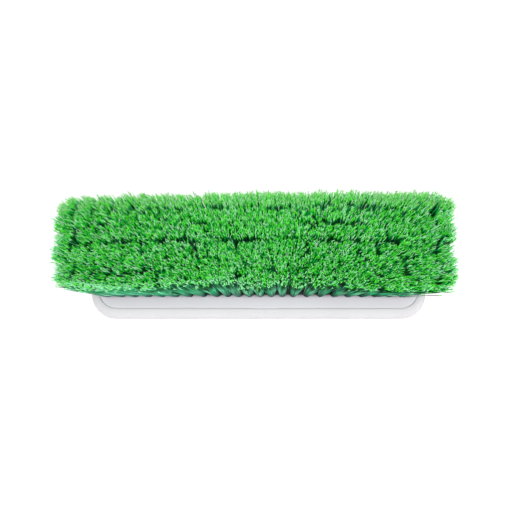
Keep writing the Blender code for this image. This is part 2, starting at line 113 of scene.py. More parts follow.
# Rounding of the hidden pieces: its widths, the angle past which an edge is rounded, and the angle up to
# which facets count as one flat
COVER_EDGE_ROUND = 0.0005
SCREW_EDGE_ROUND = 0.00015
EDGE_ANGLE = math.radians(35)
FLAT_ANGLE = math.radians(1)

# Tuft field, as the frame's bristle nodes have it, and the water outlets between its middle rows
ROWS = 6
SECTIONS = 4
TUFTS_PER_SECTION = 6
ROW_PITCH = 0.0080
OUTER_PITCH = 0.0102
MIDDLE_PITCH = 0.0082
OUTER_GAPS = 8
MIDDLE_GAPS = 7
HOLE_RADIUS = 0.00285
HOLE_DEPTH = 0.0085
HOLE_SIDES = 20
OUTLET_RADIUS = 0.0013
OUTLET_FIRST_TUFT = 1
OUTLET_EVERY_TUFTS = 3
TRIM_LENGTH = 0.0635

# Lean of the tufts: the splay at the ends and the sides, and what drift, rows and strays add to it
END_SPLAY = 0.0294
SIDE_SPLAY = 0.0127
SIDE_SPLAY_TREND = 0.14
SPLAY_POWER = 1.25
STAGGER_POWER = 4
TIP_DRIFT = (-0.0034, -0.0002)
ROW_SHIFTS = (-0.0006, 0.0006, -0.0008, 0.0009, 0.0003, 0.0005)
TUFT_STRAY = (0.0009, 0.0009)

# Lean of the two front rows: its share away from the ends, and what it gains where their left end hangs over
FRONT_LEAN_SHARES = (0.66, 0.86)
FRONT_LEAN_POWER = 3
HANG_SHARES = (0.38, 0.14)
HANG_PLACE_SHARE = -0.52
HANG_EASE_SHARE = 0.04

# The few front tufts that hang out over the plate's edge: their place, and how far and how much shorter
LICK_X = -0.0050
LICK_WIDTH = 0.0070
LICK_LEAN = 0.0105
LICK_SHORTER = 0.0040
LICK_POWER = 3.0

# Outline that the tips stay within: the left and right ends, half the width, and how square it is at its
# front left corner, front right corner and back
FIELD_ENDS = (-0.1552, 0.1500)
FIELD_HALF_WIDTH = 0.0418
FIELD_SQUARENESS = (5.5, 9.0, 11.0)
FIELD_EASE_SHARE = 0.02
FIELD_RAGGED = 0.0060

# Filaments: how many, how thick at the root, the tip and the split ends, and how they stand in their hole
FILAMENTS_PER_TUFT = 165
STEM_ROOT_RADIUS = 0.00024
STEM_RADIUS = 0.00031
END_RADIUS = 0.00026
TUFT_RADIUS = 0.0023
ROOT_SINK = 0.0030
ROOT_STRAY = 0.00014
TIP_STRAY = 0.00020

# Spread of a tuft's tips, and how far most of them and the wisps stray
FAN_SHARE_ALONG = 0.55
FAN_ACROSS = 0.0066
FAN_SQUARENESS_SHARE = 0.50
FAN_END_GROWTH = 0.20
FAN_END_POWER = 4
FAN_TREND = 0.10
FAN_CHANGE = 0.16
WIDE_FROM_SHARE = 0.2
FAN_STRAY = 0.0006
WISP_SHARE = 0.15
WISP_STRAY = 0.0024

# Clumps that a tuft's tips cling to
CLUMPS_PER_TUFT = 22
CLUMP_REACH_SHARE = 0.8
CLUMP_DRAW_SHARES = (0.15, 0.55)
CLUMP_TONE = 0.05

# Length of the filaments, and how they bend, wave and split
LENGTH_STRAY = 0.0011
LENGTH_STRAY_SHAPE = 1.5
TUFT_LENGTH_SHARES = (0.985, 1.01)
OUTWARD_BEND = 0.05
CRIMP = 0.00020
CRIMP_WAVES = 8.0
CRIMP_CHANGE = 0.5
CRIMP_EASE = 3
KINK = 0.0010
KINK_POWER = 6
STEM_SHARES = (0.0, 0.40, 0.78, 0.96)
SPLIT_FROM = 0.95
SPLIT_SPREAD = 0.00028
SPLIT_SHORTER_SHARE = 0.015
SPLIT_SIDE_SHARE = 0.5

# Tones: the shares of deep and pale filaments, the span of each tone, and what the field's outer sides add.
# The added tone gives the outer filaments the greens painted as lit
DEEP_SHARE = 0.34
PALE_SHARE = 0.25
DEEP_TONES = (0.0, 0.12)
MIDDLE_TONES = (0.35, 0.65)
PALE_TONES = (0.80, 0.92)
OUTER_TONE = 0.65
FRONT_TONE_SHARE = 0.8
BACK_TONE = 0.25
PALEST_TONE = 0.95

# The filaments' map: where the share along and the tone start and how far they span, a step round the
# filament, and the share along it that an end face takes
MAP_ALONG = (0.02, 0.96)
MAP_TONE = (0.03, 0.92)
MAP_AROUND = 0.006
CAP_SHARE = 0.01

# Finishes as (two colours that cloud into each other, roughness and, on metals, the metallic value)
COVER_WHITE = ((0.67, 0.665, 0.675, 1), (0.65, 0.645, 0.655, 1), 0.42)
# The plate's white is tinted lavender, its green held low as a painted counter to the green light that the
# bristles throw on it
PLATE_WHITE = ((0.572, 0.548, 0.592, 1), (0.552, 0.528, 0.572, 1), 0.42)
BUMPER_WHITE = ((0.54, 0.525, 0.547, 1), (0.52, 0.505, 0.527, 1), 0.50)
SEAL_BLACK = ((0.025, 0.025, 0.027, 1), (0.04, 0.04, 0.04, 1), 0.6)
BUSH_BRASS = ((0.78, 0.57, 0.25, 1), (0.66, 0.46, 0.18, 1), 0.22, 1.0)
SCREW_STEEL = ((0.62, 0.62, 0.64, 1), (0.5, 0.5, 0.52, 1), 0.22, 1.0)
BUMPER_SHEEN = 0.6
BUMPER_SHEEN_ROUGHNESS = 0.25
FILAMENT_ROUGHNESS = 0.5
FILAMENT_SPECULAR = 0.03

# The skin that the moulded and metal finishes share: its colour cloud and its fine grain
CLOUD_SCALE = 30.0
CLOUD_SPAN = (0.3, 0.7)
GRAIN_SCALE = 2500.0
GRAIN_STRENGTH = 0.1
GRAIN_DEPTH = 0.0002
ROUGHNESS_CHANGE = 0.12

# Painted shade on the plate among the tufts: its colour, how far past the tufts' middles it is full and how
# far it reaches, and the power by which it thins in between
PAINTED_SHADE_COLOUR = (0.012, 0.020, 0.015, 1)
PAINTED_SHADE_FROM = 0.0008
PAINTED_SHADE_REACH = 0.0080
PAINTED_SHADE_POWER = 5.0

# Camera: its height, distance and scale, and the pixel of the face's middle in the photograph's frame
VIEW_HEIGHT_ANGLE = math.radians(68.5)
VIEW_DISTANCE = 0.85
SENSOR_WIDTH = 36.0
PIXELS_PER_METRE = 1311.0
IMAGE_WIDTH = 512
FACE_PIXEL = (258.6, 268.6)

# Floor: its reach and its colour to the object, and to the camera its own white and how it shows the shadow
FLOOR_REACH = 4.0
FLOOR_COLOUR = (0.93, 0.93, 0.93, 1)
FLOOR_GLOW = 0.86
FLOOR_SHADE = 0.18

# Lamps as (name, place, size, power), and how strongly the pale surround lights the object
LAMPS = (
    ("key_lamp", (0.05, -0.65, 1.7), 0.5, 26.2),
    ("low_lamp", (0.0, -1.6, 0.24), 0.4, 5.0),
    ("back_lamp", (-0.4, 1.6, 0.8), 0.6, 6.0),
    ("left_lamp", (-1.5, -0.5, 0.2), 0.4, 4.4),
    ("right_lamp", (1.5, -0.5, 0.2), 0.4, 8.0),
)
SURROUND = 0.40


def fresh_object(name, data):
    """A new object in the scene for a mesh, a lamp or a camera."""
    obj = bpy.data.objects.new(name, data)
    bpy.context.scene.collection.objects.link(obj)
    return obj


def mesh_of_faces(name, points, corners, sizes, uv=None):
    """A mesh from flat arrays: vertex places, vertex numbers of all face corners, and corners per face."""
    mesh = bpy.data.meshes.new(name)
    mesh.vertices.add(len(points))
    mesh.vertices.foreach_set("co", np.asarray(points, np.float32).ravel())
    mesh.loops.add(len(corners))
    mesh.loops.foreach_set("vertex_index", np.asarray(corners, np.int32))
    mesh.polygons.add(len(sizes))
    starts = np.concatenate(([0], np.cumsum(sizes)[:-1])).astype(np.int32)
    mesh.polygons.foreach_set("loop_start", starts)
    mesh.polygons.foreach_set("use_smooth", np.full(len(sizes), True))
    if uv is not None:
        layer = mesh.uv_layers.new(name="OFBake")
        layer.data.foreach_set("uv", np.asarray(uv, np.float32).ravel())
    mesh.update(calc_edges=True)
    mesh.validate()
    return mesh


def grid_faces(rows, columns, close_rows=False, close_columns=False):
    """Quads of a rows x columns grid of vertices, numbered row by row."""
    r = np.arange(rows if close_rows else rows - 1)
    c = np.arange(columns if close_columns else columns - 1)
    r, c = np.meshgrid(r, c, indexing="ij")
    nr, nc = (r + 1) % rows, (c + 1) % columns
    quads = np.stack((r * columns + c, nr * columns + c, nr * columns + nc, r * columns + nc), -1)
    return quads.reshape(-1, 4)


def merged(obj):
    """Joins vertices that lie together and points all faces out."""
    bm = bmesh.new()
    bm.from_mesh(obj.data)
    bmesh.ops.remove_doubles(bm, verts=bm.verts, dist=MERGE_DISTANCE)
    bmesh.ops.recalc_face_normals(bm, faces=bm.faces)
    bm.to_mesh(obj.data)
    bm.free()
    return obj


def block_edge():
    """Points round the block's outline, anticlockwise and about EDGE_SPACING apart.

    Each corner is a quarter circle and each side a straight run. With each point comes its outward direction.
    """
    half_x, half_y = HALF_LENGTH - CORNER_RADIUS, HALF_WIDTH - CORNER_RADIUS
    turn = np.linspace(0, np.pi / 2, CORNER_POINTS)
    points, normals = [], []
    for quarter, (sx, sy) in enumerate(((1, 1), (-1, 1), (-1, -1), (1, -1))):
        angle = turn + quarter * np.pi / 2
        out = np.stack((np.cos(angle), np.sin(angle)), -1)
        points.append(np.array((sx * half_x, sy * half_y)) + CORNER_RADIUS * out)
        normals.append(out)
        length = 2 * (half_x if quarter % 2 == 0 else half_y)
        steps = int(length / EDGE_SPACING)
        along = np.linspace(0, 1, steps + 1)[1:-1, None]
        way = np.array(((-1, 0), (0, -1), (1, 0), (0, 1))[quarter])
        points.append(points[-1][-1] + along * length * way)
        normals.append(np.repeat(out[-1:], len(along), 0))
    return np.concatenate(points), np.concatenate(normals)


def seam_drift(points):
    """How far the seam wanders outwards at each point: a sum of sines, and a dip near the front's middle.

    The dip falls off along X as the exponential of a fourth power, and a logistic step keeps it to the front.
    """
    x, y = points[:, 0], points[:, 1]
    waves = sum(share * np.sin(x * along + y * across + start) for along, across, start, share in SEAM_WAVES)
    front = 1 / (1 + np.exp((y + HALF_WIDTH * SEAM_DIP_FROM_SHARE) / SEAM_DIP_EASE))
    dip = np.exp(-(((x - SEAM_DIP_X) / SEAM_DIP_WIDTH) ** 4)) * front
    return SEAM_DRIFT * (waves + SEAM_DIP_SHARE * dip)


def tuft_columns():
    """X of the 24 tufts of a row before the stagger; the middle ones stand closer together."""
    gaps = [OUTER_PITCH] * OUTER_GAPS + [MIDDLE_PITCH] * MIDDLE_GAPS + [OUTER_PITCH] * OUTER_GAPS
    places = np.concatenate(([0], np.cumsum(gaps)))
    return places - places[-1] / 2


COLUMNS = tuft_columns()
ROW_HALF_LENGTH = COLUMNS[-1]
STAGGER = OUTER_PITCH / 4


def tuft_places(row):
    """X and Y of the tufts of one row."""
    shift = STAGGER if row % 2 else -STAGGER
    y = (row - (ROWS - 1) / 2) * ROW_PITCH
    return np.stack((COLUMNS + shift, np.full(len(COLUMNS), y)), -1)


def ring(centre, radius, sides):
    """Points evenly round a flat circle."""
    angle = np.linspace(0, 2 * np.pi, sides, endpoint=False)
    return np.asarray(centre) + radius * np.stack((np.cos(angle), np.sin(angle)), -1)


def flat_fill(loops, height):
    """Triangles that fill the first loop around the other loops, as points and faces."""
    lines = [[Vector((x, y, 0)) for x, y in loop] for loop in loops]
    faces = np.array(tessellate_polygon(lines), np.int32)
    flat = np.concatenate(loops)
    return np.column_stack((flat, np.full(len(flat), height))), faces


def plate_wall(edge, out):
    """Rings of points down the plate's side wall, from the face's edge to the underside's.

    A profile with the bumper's groove is carried round the block's edge. Each ring is that edge moved in by
    an inset and out by a share of the seam's drift.
    """
    drift = seam_drift(edge)
    rib_low = (BUMPER_LOW.z + BUMPER_HIGH.z - RIB_HEIGHT) / 2 - SEAM_GAP
    rib_high = rib_low + RIB_HEIGHT + 2 * SEAM_GAP
    depth = RIB_DEPTH + SEAM_GAP
    edge_middle = PLATE_EDGE_ROUND * PLATE_EDGE_MIDDLE_SHARE
    # Each wall point is (inset, height, share of the seam's drift that it takes)
    wall = [
        (PLATE_EDGE_ROUND, FACE, 1),
        (edge_middle, FACE - edge_middle, 1),
        (0, FACE - PLATE_EDGE_ROUND, 1),
        (0, FACE - SEAM_DRIFT_DEPTH, 0),
        (0, rib_high, 0),
        (depth, rib_high, 0),
        (depth, rib_low, 0),
        (0, rib_low, 0),
        (0, PLATE_BOTTOM + PLATE_EDGE_ROUND, 0),
        (PLATE_EDGE_ROUND, PLATE_BOTTOM, 0),
    ]
    rings = []
    for inset, height, share in wall:
        flat = edge + out * (share * drift - inset)[:, None]
        rings.append(np.column_stack((flat, np.full(len(flat), height))))
    return rings


def plate_bore(centre, radius, bottom, blind):
    """Points, quads and triangles of one round hole in the face, a turned profile with a bevelled mouth.

    The floor of a blind hole is a fan of triangles round its middle point.
    """
    levels = [(radius + HOLE_EDGE_ROUND, FACE), (radius, FACE - HOLE_EDGE_ROUND), (radius, bottom)]
    rings = [np.column_stack((ring(centre, r, HOLE_SIDES), np.full(HOLE_SIDES, z))) for r, z in levels]
    quads = grid_faces(len(levels), HOLE_SIDES, close_columns=True)
    if not blind:
        return np.concatenate(rings), quads, np.empty((0, 3), int)
    last = (len(levels) - 1) * HOLE_SIDES + np.arange(HOLE_SIDES)
    middle = np.full(HOLE_SIDES, len(levels) * HOLE_SIDES)
    floor = np.stack((last, np.roll(last, -1), middle), -1)
    return np.concatenate((*rings, [(*centre, bottom)])), quads, floor


def tuft_plate():
    """The plate: its side wall, a blind hole for each tuft, the water outlets, and the flats between them."""
    edge, out = block_edge()
    wall = plate_wall(edge, out)
    points = [np.concatenate(wall)]
    quads = [grid_faces(len(wall), len(edge), close_columns=True)]
    triangles = []
    count = len(points[0])

    holes = np.concatenate([tuft_places(row) for row in range(ROWS)])
    outlet_columns = COLUMNS[OUTLET_FIRST_TUFT::OUTLET_EVERY_TUFTS]
    outlets = np.column_stack((outlet_columns, np.zeros(len(outlet_columns))))
    face_loops = [wall[0][:, :2]]
    face_loops += [ring(c, HOLE_RADIUS + HOLE_EDGE_ROUND, HOLE_SIDES) for c in holes]
    face_loops += [ring(c, OUTLET_RADIUS + HOLE_EDGE_ROUND, HOLE_SIDES) for c in outlets]
    under_loops = [wall[-1][:, :2]] + [ring(c, OUTLET_RADIUS, HOLE_SIDES) for c in outlets]
    for loops, height in ((face_loops, FACE), (under_loops, PLATE_BOTTOM)):
        flat, filled = flat_fill(loops, height)
        points.append(flat)
        triangles.append(filled + count)
        count += len(flat)
    bores = [plate_bore(c, HOLE_RADIUS, FACE - HOLE_DEPTH, True) for c in holes]
    bores += [plate_bore(c, OUTLET_RADIUS, PLATE_BOTTOM, False) for c in outlets]
    for bore, sides, floor in bores:
        points.append(bore)
        quads.append(sides + count)
        triangles.append(floor + count)
        count += len(bore)
    quads, triangles = np.concatenate(quads), np.concatenate(triangles)
    corners = np.concatenate((quads.ravel(), triangles.ravel()))
    sizes = np.concatenate((np.full(len(quads), 4), np.full(len(triangles), 3)))
    mesh = mesh_of_faces("plate_with_holes", np.concatenate(points), corners, sizes)
    obj = merged(fresh_object("plate_with_holes", mesh))
    obj.data.set_sharp_from_angle(angle=SHARP_ANGLE)
    return obj


def soft_bumper():
    """The bumper: a half round with a rib behind it, carried round the block's edge.

    At each point of the path the section is (outward, up). Its lip follows the seam's drift. On the front
    its outside draws in a little, as a bell curve along X, where the two ends of the strip meet.
    """
    edge, out = block_edge()
    drift = seam_drift(edge)
    middle = (BUMPER_LOW.z + BUMPER_HIGH.z) / 2
    angle = np.linspace(np.pi / 2, -np.pi / 2, BUMPER_STEPS + 1)
    outward = BUMPER_RADIUS * np.cos(angle)
    up = BUMPER_RADIUS * np.sin(angle)
    inner = outward < SEAM_GAP + BUMPER_LIP
    top_lip = inner & (up > 0)
    outward = np.where(inner, np.maximum(outward, SEAM_GAP), outward)
    rib = np.array(
        (
            (SEAM_GAP, -RIB_HEIGHT / 2),
            (-RIB_DEPTH, -RIB_HEIGHT / 2),
            (-RIB_DEPTH, RIB_HEIGHT / 2),
            (SEAM_GAP, RIB_HEIGHT / 2),
        )
    )
    outward = np.concatenate((outward, rib[:, 0], (SEAM_GAP, SEAM_GAP)))
    up = np.concatenate((up, rib[:, 1], (BUMPER_RADIUS * BUMPER_BACK_SHARE, BUMPER_RADIUS - BUMPER_LIP / 2)))
    follows = np.concatenate((np.where(top_lip, 1.0, 0.0), np.zeros(len(rib) + 1), (1.0,)))
    joint = np.exp(-(((edge[:, 0] - JOINT_X) / JOINT_WIDTH) ** 2)) * (edge[:, 1] < 0)
    shape = 1 - joint[:, None] * JOINT_DEPTH / BUMPER_RADIUS * (outward > SEAM_GAP + BUMPER_LIP)
    reach = outward * shape + follows * drift[:, None]
    height = middle + up * shape
    points = np.concatenate((edge[:, None] + out[:, None] * reach[..., None], height[..., None]), -1)
    faces = grid_faces(len(edge), len(up), close_rows=True, close_columns=True)
    mesh = mesh_of_faces("soft_bumper", points.reshape(-1, 3), faces.ravel(), np.full(len(faces), 4))
    obj = merged(fresh_object("soft_bumper", mesh))
    obj.data.set_sharp_from_angle(angle=BUMPER_SHARP_ANGLE)
    return obj


def threaded_bush():
    """The brass bush: a sleeve with a collar at the mouth, turned about the slanted axis of the socket.

    Its bore's radius is less by the thread's depth times a wave. The wave is a half plus the steepness times
    a cosine of the height in pitches less the share of a turn, held between nought and one. It fades out at
    both ends of the bore.
    """
    collar = BUSH_HIGH.x
    slant = math.cos(SOCKET_TILT)
    mouth = np.array((0, BUSH_HIGH.y - collar * slant, BUSH_LOW.z + collar * slant))
    inner_end = np.array((0, BUSH_LOW.y + BUSH_RADIUS * slant, BUSH_HIGH.z - BUSH_RADIUS * slant))
    length = np.linalg.norm(mouth - inner_end)
    out = (mouth - inner_end) / length
    across = np.array((1.0, 0.0, 0.0))
    upright = np.cross(out, across)
    edge = BUSH_EDGE_ROUND
    # Each wall point is (radius, height from the mouth)
    wall = np.array(
        (
            (BORE_RADIUS + edge, 0),
            (collar - edge, 0),
            (collar, -edge),
            (collar, edge - COLLAR_LENGTH),
            (collar - edge, -COLLAR_LENGTH),
            (BUSH_RADIUS, -COLLAR_LENGTH),
            (BUSH_RADIUS, edge - length),
            (BUSH_RADIUS - edge, -length),
            (BORE_RADIUS + edge, -length),
        )
    )
    turn = np.linspace(0, 1, BUSH_SIDES, endpoint=False)[:, None]
    height = np.linspace(edge - length, -edge, BORE_RINGS)
    wave = np.clip(0.5 + THREAD_STEEPNESS * np.cos(2 * np.pi * (height / THREAD_PITCH - turn)), 0, 1)
    room = np.minimum(height + length - WASHER_ROOM, -height) / THREAD_EASE
    bore = BORE_RADIUS - THREAD_DEPTH * wave * np.clip(room, 0, 1)
    radius = np.concatenate((np.broadcast_to(wall[:, 0], (BUSH_SIDES, len(wall))), bore), 1)
    height = np.broadcast_to(np.concatenate((wall[:, 1], height)), radius.shape)
    angle = 2 * np.pi * turn[..., None]
    spoke = across * np.cos(angle) + upright * np.sin(angle)
    points = mouth + out * height[..., None] + spoke * radius[..., None]
    faces = grid_faces(*radius.shape, close_rows=True, close_columns=True)
    mesh = mesh_of_faces("threaded_bush", points.reshape(-1, 3), faces.ravel(), np.full(len(faces), 4))
    obj = merged(fresh_object("threaded_bush", mesh))
    obj.data.set_sharp_from_angle(angle=SHARP_ANGLE)
    return obj


def softened(name, source, width):
    """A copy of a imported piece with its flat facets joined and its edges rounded."""
    obj = merged(fresh_object(name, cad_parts[source].data.copy()))
    bm = bmesh.new()
    bm.from_mesh(obj.data)
    bmesh.ops.dissolve_limit(bm, angle_limit=FLAT_ANGLE, verts=bm.verts, edges=bm.edges)
    for face in bm.faces:
        face.smooth = True
    bm.to_mesh(obj.data)
    bm.free()
    bevel = obj.modifiers.new("rounded_edges", "BEVEL")
    bevel.width = width
    bevel.segments = 2
    bevel.limit_method = "ANGLE"
    bevel.angle_limit = EDGE_ANGLE
    bevel.harden_normals = True
    return obj


def filament_pattern():
    """The faces of one filament: a three-sided stem that splits into three finer, pointed ends.

    Returns the vertex number, the share along the filament and the place round it of every face corner,
    and the corners per face. The stem's rings come first, then each end's ring and point.
    """
    faces, along, around = [], [], []

    def add(corners, shares, places):
        faces.append(corners)
        along.append(shares)
        around.append(places)

    for level in range(len(STEM_SHARES) - 1):
        low, high = STEM_SHARES[level], STEM_SHARES[level + 1]
        for side in range(3):
            near, far = 3 * level + side, 3 * level + (side + 1) % 3
            add((near, far, far + 3, near + 3), (low, low, high, high), (side, side + 1, side + 1, side))
    last = 3 * (len(STEM_SHARES) - 1)
    add((0, 2, 1), (0, 0, CAP_SHARE), (0, 2, 1))
    add((last, last + 1, last + 2), (high, high, high - CAP_SHARE), (0, 1, 2))
    for end in range(3):
        first = last + 3 + 4 * end
        add((first, first + 2, first + 1), (SPLIT_FROM, SPLIT_FROM, SPLIT_FROM + CAP_SHARE), (0, 2, 1))
        for side in range(3):
            corners = (first + side, first + (side + 1) % 3, first + 3)
            add(corners, (SPLIT_FROM, SPLIT_FROM, 1), (side, side + 1, side + 0.5))
    sizes = np.array([len(face) for face in faces])
    flat = [np.concatenate([np.array(part, float) for part in parts]) for parts in (faces, along, around)]
    return flat[0].astype(np.int32), flat[1], flat[2], sizes


# Greens from root to tip, of the filaments of the deepest, middle and palest tone, of the outermost ones
# at the front and the ends, and of the outermost ones at the back, whose tips are yellower as painted warm
# light from behind. Along each filament the greens are painted light and shade: dark and bluish at the
# root, lighter below the middle, near black from seven tenths of the way up to just below the tip, where
# the bristles shade each other, and bright at the tip. The outermost ones are painted lighter on the stem,
# as lit.
DEEP_GREENS = (
    (0.0, (0.004, 0.050, 0.028)),
    (0.12, (0.003, 0.045, 0.026)),
    (0.28, (0.006, 0.120, 0.055)),
    (0.45, (0.010, 0.200, 0.085)),
    (0.70, (0.001, 0.012, 0.006)),
    (0.895, (0.001, 0.030, 0.010)),
    (0.925, (0.000, 0.370, 0.047)),
    (1.0, (0.000, 0.490, 0.062)),
)
MIDDLE_GREENS = (
    (0.0, (0.012, 0.110, 0.060)),
    (0.12, (0.012, 0.110, 0.065)),
    (0.28, (0.020, 0.330, 0.150)),
    (0.45, (0.035, 0.700, 0.270)),
    (0.70, (0.001, 0.022, 0.009)),
    (0.895, (0.002, 0.090, 0.020)),
    (0.925, (0.085, 0.900, 0.050)),
    (1.0, (0.200, 0.930, 0.085)),
)
PALE_GREENS = (
    (0.0, (0.200, 0.360, 0.300)),
    (0.12, (0.200, 0.360, 0.300)),
    (0.28, (0.280, 0.580, 0.440)),
    (0.45, (0.420, 0.940, 0.660)),
    (0.70, (0.003, 0.060, 0.024)),
    (0.895, (0.018, 0.220, 0.070)),
    (0.925, (0.400, 0.880, 0.480)),
    (1.0, (0.800, 0.920, 0.920)),
)
OUTER_GREENS = (
    (0.0, (0.060, 0.240, 0.160)),
    (0.12, (0.060, 0.240, 0.160)),
    (0.28, (0.100, 0.460, 0.260)),
    (0.45, (0.090, 0.500, 0.260)),
    (0.70, (0.040, 0.340, 0.140)),
    (0.895, (0.060, 0.460, 0.170)),
    (0.925, (0.240, 0.860, 0.350)),
    (1.0, (0.640, 0.940, 0.840)),
)
BACK_GREENS = OUTER_GREENS[:-2] + (
    (0.925, (0.190, 0.790, 0.170)),
    (1.0, (0.620, 0.880, 0.450)),
)

# Where on the map's V each of the other greens begins to show over the deep ones, and where it shows alone
TONE_STAGES = (
    (MIDDLE_GREENS, 0.1, 0.5),
    (PALE_GREENS, 0.6, 0.88),
    (OUTER_GREENS, 0.895, 0.905),
    (BACK_GREENS, 0.93, 0.945),
)

PATTERN = filament_pattern()


def sunflower(count):
    """Points that fill a unit disc as a sunflower's seeds do.

    The distance from the middle is the square root of the point's share of the count, and neighbours
    are a golden angle apart.
    """
    number = np.arange(count)
    distance = np.sqrt((number + 0.5) / count)
    angle = number * np.pi * (3 - math.sqrt(5))
    return np.stack((distance * np.cos(angle), distance * np.sin(angle)), -1)


def squared(points):
    """Points of a unit disc moved out towards a square's sides and corners.

    Each goes out by the distance to the square's side along its own way, to the power of the squareness.
    """
    size = np.hypot(points[:, 0], points[:, 1])
    reach = size / np.abs(points).max(-1)
    return points * (reach**FAN_SQUARENESS_SHARE)[:, None]


def turned(points, angle):
    """Flat points turned about the origin, once for each angle."""
    c, s = np.cos(angle)[:, None], np.sin(angle)[:, None]
    x, y = points[None, :, 0], points[None, :, 1]
    return np.stack((c * x - s * y, s * x + c * y), -1)


def held_within(reach, inset):
    """Flat places past the field's rounded outline, less each place's inset, drawn back to it.

    The outline is a squarish oval, where the sum of both shares, each to the same high power, is one. Past
    the outline less an ease a place's size in it bends over, as a hyperbolic tangent, to one.
    """
    middle = np.array((sum(FIELD_ENDS) / 2, 0.0))
    half = np.array(((FIELD_ENDS[1] - FIELD_ENDS[0]) / 2, FIELD_HALF_WIDTH)) - inset[..., None]
    share = np.abs((reach - middle) / half)
    left, right, back = FIELD_SQUARENESS
    power = np.where(reach[..., 1] > 0, back, np.where(reach[..., 0] < 0, left, right))
    size = (share ** power[..., None]).sum(-1) ** (1 / power)
    start = 1 - FIELD_EASE_SHARE
    past = np.maximum(size - start, 0)
    held = np.minimum(size, start) + FIELD_EASE_SHARE * np.tanh(past / FIELD_EASE_SHARE)
    return middle + (reach - middle) * (held / size)[..., None]


def lick_share(places, row):
    """How much each tuft belongs to the few front tufts that hang out over the plate's edge."""
    return np.exp(-(((places[:, 0] - LICK_X) / LICK_WIDTH) ** 2)) * (row == 0)


def tuft_lean(places, row, chance):
    """How far each tuft's tips stand from over its root.

    Along the head the lean grows as a power of the distance from the middle and makes up for the stagger
    at the ends. Across it the lean goes with the row's place, less in the two front rows away from the ends,
    and more by a logistic step where their left end hangs over. It wanders from tuft to tuft, and each row
    stands off a little, so that some rows part more than others.
    """
    x, y = places[:, 0], places[:, 1]
    share = x / ROW_HALF_LENGTH
    along = END_SPLAY * np.sign(share) * np.abs(share) ** SPLAY_POWER
    along = along - np.abs(share) ** STAGGER_POWER * (STAGGER if row % 2 else -STAGGER)
    outer = (ROWS - 1) / 2 * ROW_PITCH
    across = SIDE_SPLAY * (1 + SIDE_SPLAY_TREND * share) * y / outer
    if row < len(FRONT_LEAN_SHARES):
        hang = HANG_SHARES[row] / (1 + np.exp((share - HANG_PLACE_SHARE) / HANG_EASE_SHARE))
        least = FRONT_LEAN_SHARES[row] + hang
        across = across * (least + (1 - least) * np.abs(share) ** FRONT_LEAN_POWER)
    across = across + ROW_SHIFTS[row]
    lean = np.stack((along, across), -1) + TIP_DRIFT
    return lean + chance.normal(0, TUFT_STRAY, lean.shape)


def fan_sizes(places, chance):
    """Half the length and width of each tuft's spread at its tips.

    The length is a share of the tufts' pitch at their tips. The width grows towards the ends as a power and
    evenly to the right. Both change at random from tuft to tuft.
    """
    share = np.abs(places[:, 0]) / ROW_HALF_LENGTH
    spread = END_SPLAY * SPLAY_POWER * share ** (SPLAY_POWER - 1) / ROW_HALF_LENGTH
    pitch = np.where(share > WIDE_FROM_SHARE, OUTER_PITCH, MIDDLE_PITCH)
    trend = 1 + FAN_TREND * places[:, 0] / ROW_HALF_LENGTH
    across = FAN_ACROSS * (1 + FAN_END_GROWTH * share**FAN_END_POWER) * trend
    fan = np.stack((FAN_SHARE_ALONG * pitch * (1 + spread), across), -1)
    return fan * chance.uniform(1 - FAN_CHANGE, 1 + FAN_CHANGE, fan.shape)


def clumps(seeds, chance):
    """Each filament's nearest clump in its tuft, and the flat way from its seed to that clump's middle."""
    tufts = seeds.shape[0]
    middles = chance.uniform(-CLUMP_REACH_SHARE, CLUMP_REACH_SHARE, (tufts, CLUMPS_PER_TUFT, 2))
    ways = middles[:, None] - seeds[:, :, None]
    nearest = np.argmin((ways**2).sum(-1), -1)
    return nearest, np.take_along_axis(ways, nearest[..., None, None], 2)[:, :, 0]


